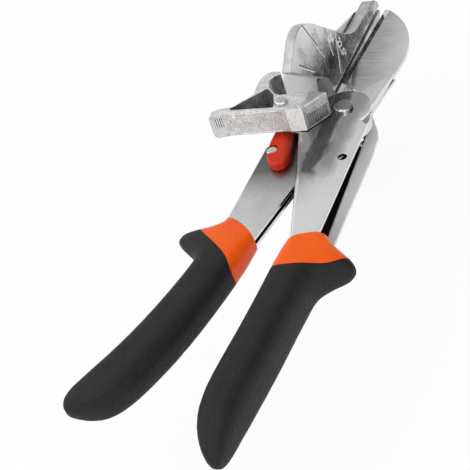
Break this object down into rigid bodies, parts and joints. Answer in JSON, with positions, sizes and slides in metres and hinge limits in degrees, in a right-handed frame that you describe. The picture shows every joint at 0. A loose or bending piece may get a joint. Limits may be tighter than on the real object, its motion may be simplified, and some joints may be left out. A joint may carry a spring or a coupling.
{
  "type": "mitre shears",
  "caption": "Mitre shears with a knife blade closing on a slotted anvil, marked angle wings, a swinging angle stop, a handle lock and two-tone moulded grips.",
  "frame": {"origin": "on the main pivot axis, half way between the two sides of the outer channel", "axes": "+Z along the pivot axis out of the side with the bolt head and the angle stop; +Y from the grips towards the nose; +X from the anvil jaw towards the blade jaw"},
  "size_m": [0.0901, 0.277, 0.0886],
  "materials": {
    "polished_steel": "polished",
    "blade_steel": "ground",
    "cast_alloy": "cast",
    "plated_fasteners": "plated",
    "spring_steel": "drawn",
    "red_enamel": "gloss",
    "orange_plastic": "gloss",
    "black_rubber": "fine grain",
    "strip_plastic": "matte"
  },
  "bodies": {
    "anvil_side": {"anvil_frame": "polished_steel", "anvil_casting": "cast_alloy", "anvil_strip": "strip_plastic", "anvil_rivets": "plated_fasteners", "pivot_bolt": "plated_fasteners", "pivot_bush": "plated_fasteners", "upper_spacer": "strip_plastic", "lower_spacer": "strip_plastic", "pivot_washer": "plated_fasteners", "pivot_nut": "plated_fasteners", "handle_spring": "spring_steel", "lock_catch": "plated_fasteners", "angle_stop_rivet": "plated_fasteners", "angle_stop_washer": "strip_plastic", "anvil_handle_grip": "black_rubber", "anvil_handle_collar": "orange_plastic"},
    "blade_side": {"blade_frame": "polished_steel", "blade": "blade_steel", "blade_pins": "blade_steel", "lock_lever_rivet": "plated_fasteners", "lock_lever_washer": "strip_plastic", "blade_handle_grip": "black_rubber", "blade_handle_collar": "orange_plastic"},
    "lock_lever": {"lock_lever": "red_enamel"},
    "angle_stop": {"angle_stop": "cast_alloy"}
  },
  "joints": [
    {"name": "handle_pivot", "type": "hinge", "parent": "anvil_side", "child": "blade_side", "pos_m": [0, 0, 0], "axis": [0, 0, -1], "range_deg": [-3.1, 28], "deforming": ["handle_spring"]},
    {"name": "lock_lever_pivot", "type": "hinge", "parent": "blade_side", "child": "lock_lever", "pos_m": [-0.02592, -0.02785, 0.004], "axis": [0, 0, -1], "range_deg": [0, 16]},
    {"name": "angle_stop_pivot", "type": "hinge", "parent": "anvil_side", "child": "angle_stop", "pos_m": [-0.02255, -0.01378, 0.0157], "axis": [0, 0, 1], "range_deg": [0, 30]}
  ]
}
